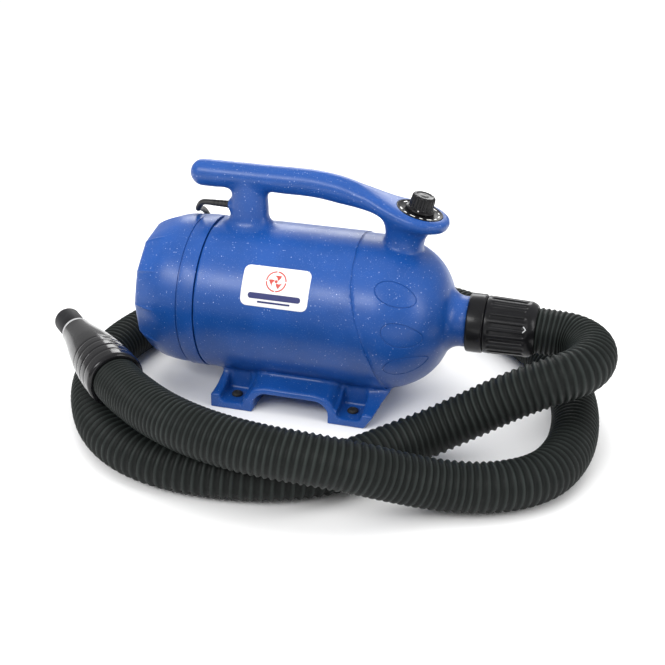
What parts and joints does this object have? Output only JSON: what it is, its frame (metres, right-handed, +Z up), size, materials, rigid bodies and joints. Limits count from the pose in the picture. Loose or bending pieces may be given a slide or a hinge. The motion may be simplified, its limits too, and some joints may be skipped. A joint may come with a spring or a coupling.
{
  "type": "pet dryer",
  "caption": "Portable pet grooming dryer: barrel blower with carry handle, dial speed control, corrugated hose with twist cuff and tapered handpiece, and mains cord.",
  "frame": {"origin": "centre of the body's footprint at the floor, under the barrel", "axes": "+X along the barrel towards the outlet, +Z up, -Y the side with the label"},
  "size_m": [0.6089, 0.5438, 0.2583],
  "materials": {
    "blue_housing": "satin moulded plastic with fine pale flecks",
    "black_plastic": "satin",
    "gloss_black": "gloss",
    "hose_black": "matt ribbed",
    "black_rubber": "matt",
    "cord_black": "matt",
    "grey_ring": "worn pale edge",
    "dial_black": "printed with pale dashes",
    "knob_black": "fluted, satin",
    "zinc": "plated",
    "board_green": "circuit board",
    "aluminium": "as cast",
    "brass": "bright",
    "sheet_steel": "plated sheet",
    "core_steel": "laminated",
    "copper_wire": "enamelled",
    "carbon": "carbon",
    "label_white": "printed film",
    "foam_grey": "open foam"
  },
  "bodies": {
    "housing": {"main_housing": "blue_housing", "rubber_feet": "black_rubber", "outlet_ring": "black_plastic", "hose": "hose_black", "handpiece": "gloss_black", "nozzle_ring": "grey_ring", "dial_plate": "dial_black", "potentiometer": "zinc", "bush_nut": "zinc", "control_board": "board_green", "heat_sink": "aluminium", "strain_relief": "cord_black", "power_cord": "cord_black", "cord_coil": "cord_black", "cord_tail": "cord_black", "plug_body": "cord_black", "plug_blades": "brass", "bulkhead": "black_plastic", "bulkhead_screws": "zinc", "fan_gasket": "black_rubber", "fan_shell": "sheet_steel", "diffuser": "aluminium", "motor_bracket": "aluminium", "field_core": "core_steel", "field_coils": "copper_wire", "end_bracket": "black_plastic", "brush_holders": "brass", "carbon_brushes": "carbon", "bearings": "core_steel", "motor_cradle": "black_plastic", "cradle_bush": "black_rubber", "side_label": "label_white"},
    "rotor": {"motor_shaft": "core_steel", "rear_impeller": "aluminium", "front_impeller": "aluminium", "impeller_nut": "zinc", "impeller_spacer": "zinc", "commutator": "copper_wire", "armature_core": "core_steel", "armature_winding": "copper_wire"},
    "filter": {"filter_frame": "black_plastic", "foam_filter": "foam_grey", "mesh_screen": "sheet_steel"},
    "cover": {"rear_cover": "blue_housing"},
    "cuff": {"hose_cuff": "black_plastic"},
    "knob": {"speed_knob": "knob_black", "control_shaft": "zinc"},
    "tip": {"nozzle_tip": "black_plastic"}
  },
  "joints": [
    {"name": "rotor_spin", "type": "hinge", "parent": "housing", "child": "rotor", "pos_m": [0, 0, 0.1045], "axis": [1, 0, 0], "continuous": true},
    {"name": "filter_pull", "type": "slide", "parent": "housing", "child": "filter", "axis": [-1, 0, 0], "range_m": [0, 0.014]},
    {"name": "cover_twist", "type": "hinge", "parent": "filter", "child": "cover", "pos_m": [0, 0, 0.1045], "axis": [1, 0, 0], "range_deg": [-20, 0]},
    {"name": "cuff_turn", "type": "hinge", "parent": "housing", "child": "cuff", "pos_m": [0, 0, 0.1045], "axis": [1, 0, 0], "range_deg": [-90, 0]},
    {"name": "knob_turn", "type": "hinge", "parent": "housing", "child": "knob", "pos_m": [0.08498, 0, 0.2255], "axis": [0.2504, 0, 0.9681], "range_deg": [-270, 0]},
    {"name": "tip_pull", "type": "slide", "parent": "housing", "child": "tip", "axis": [-0.715, 0.698, 0.04], "range_m": [0, 0.03]}
  ]
}
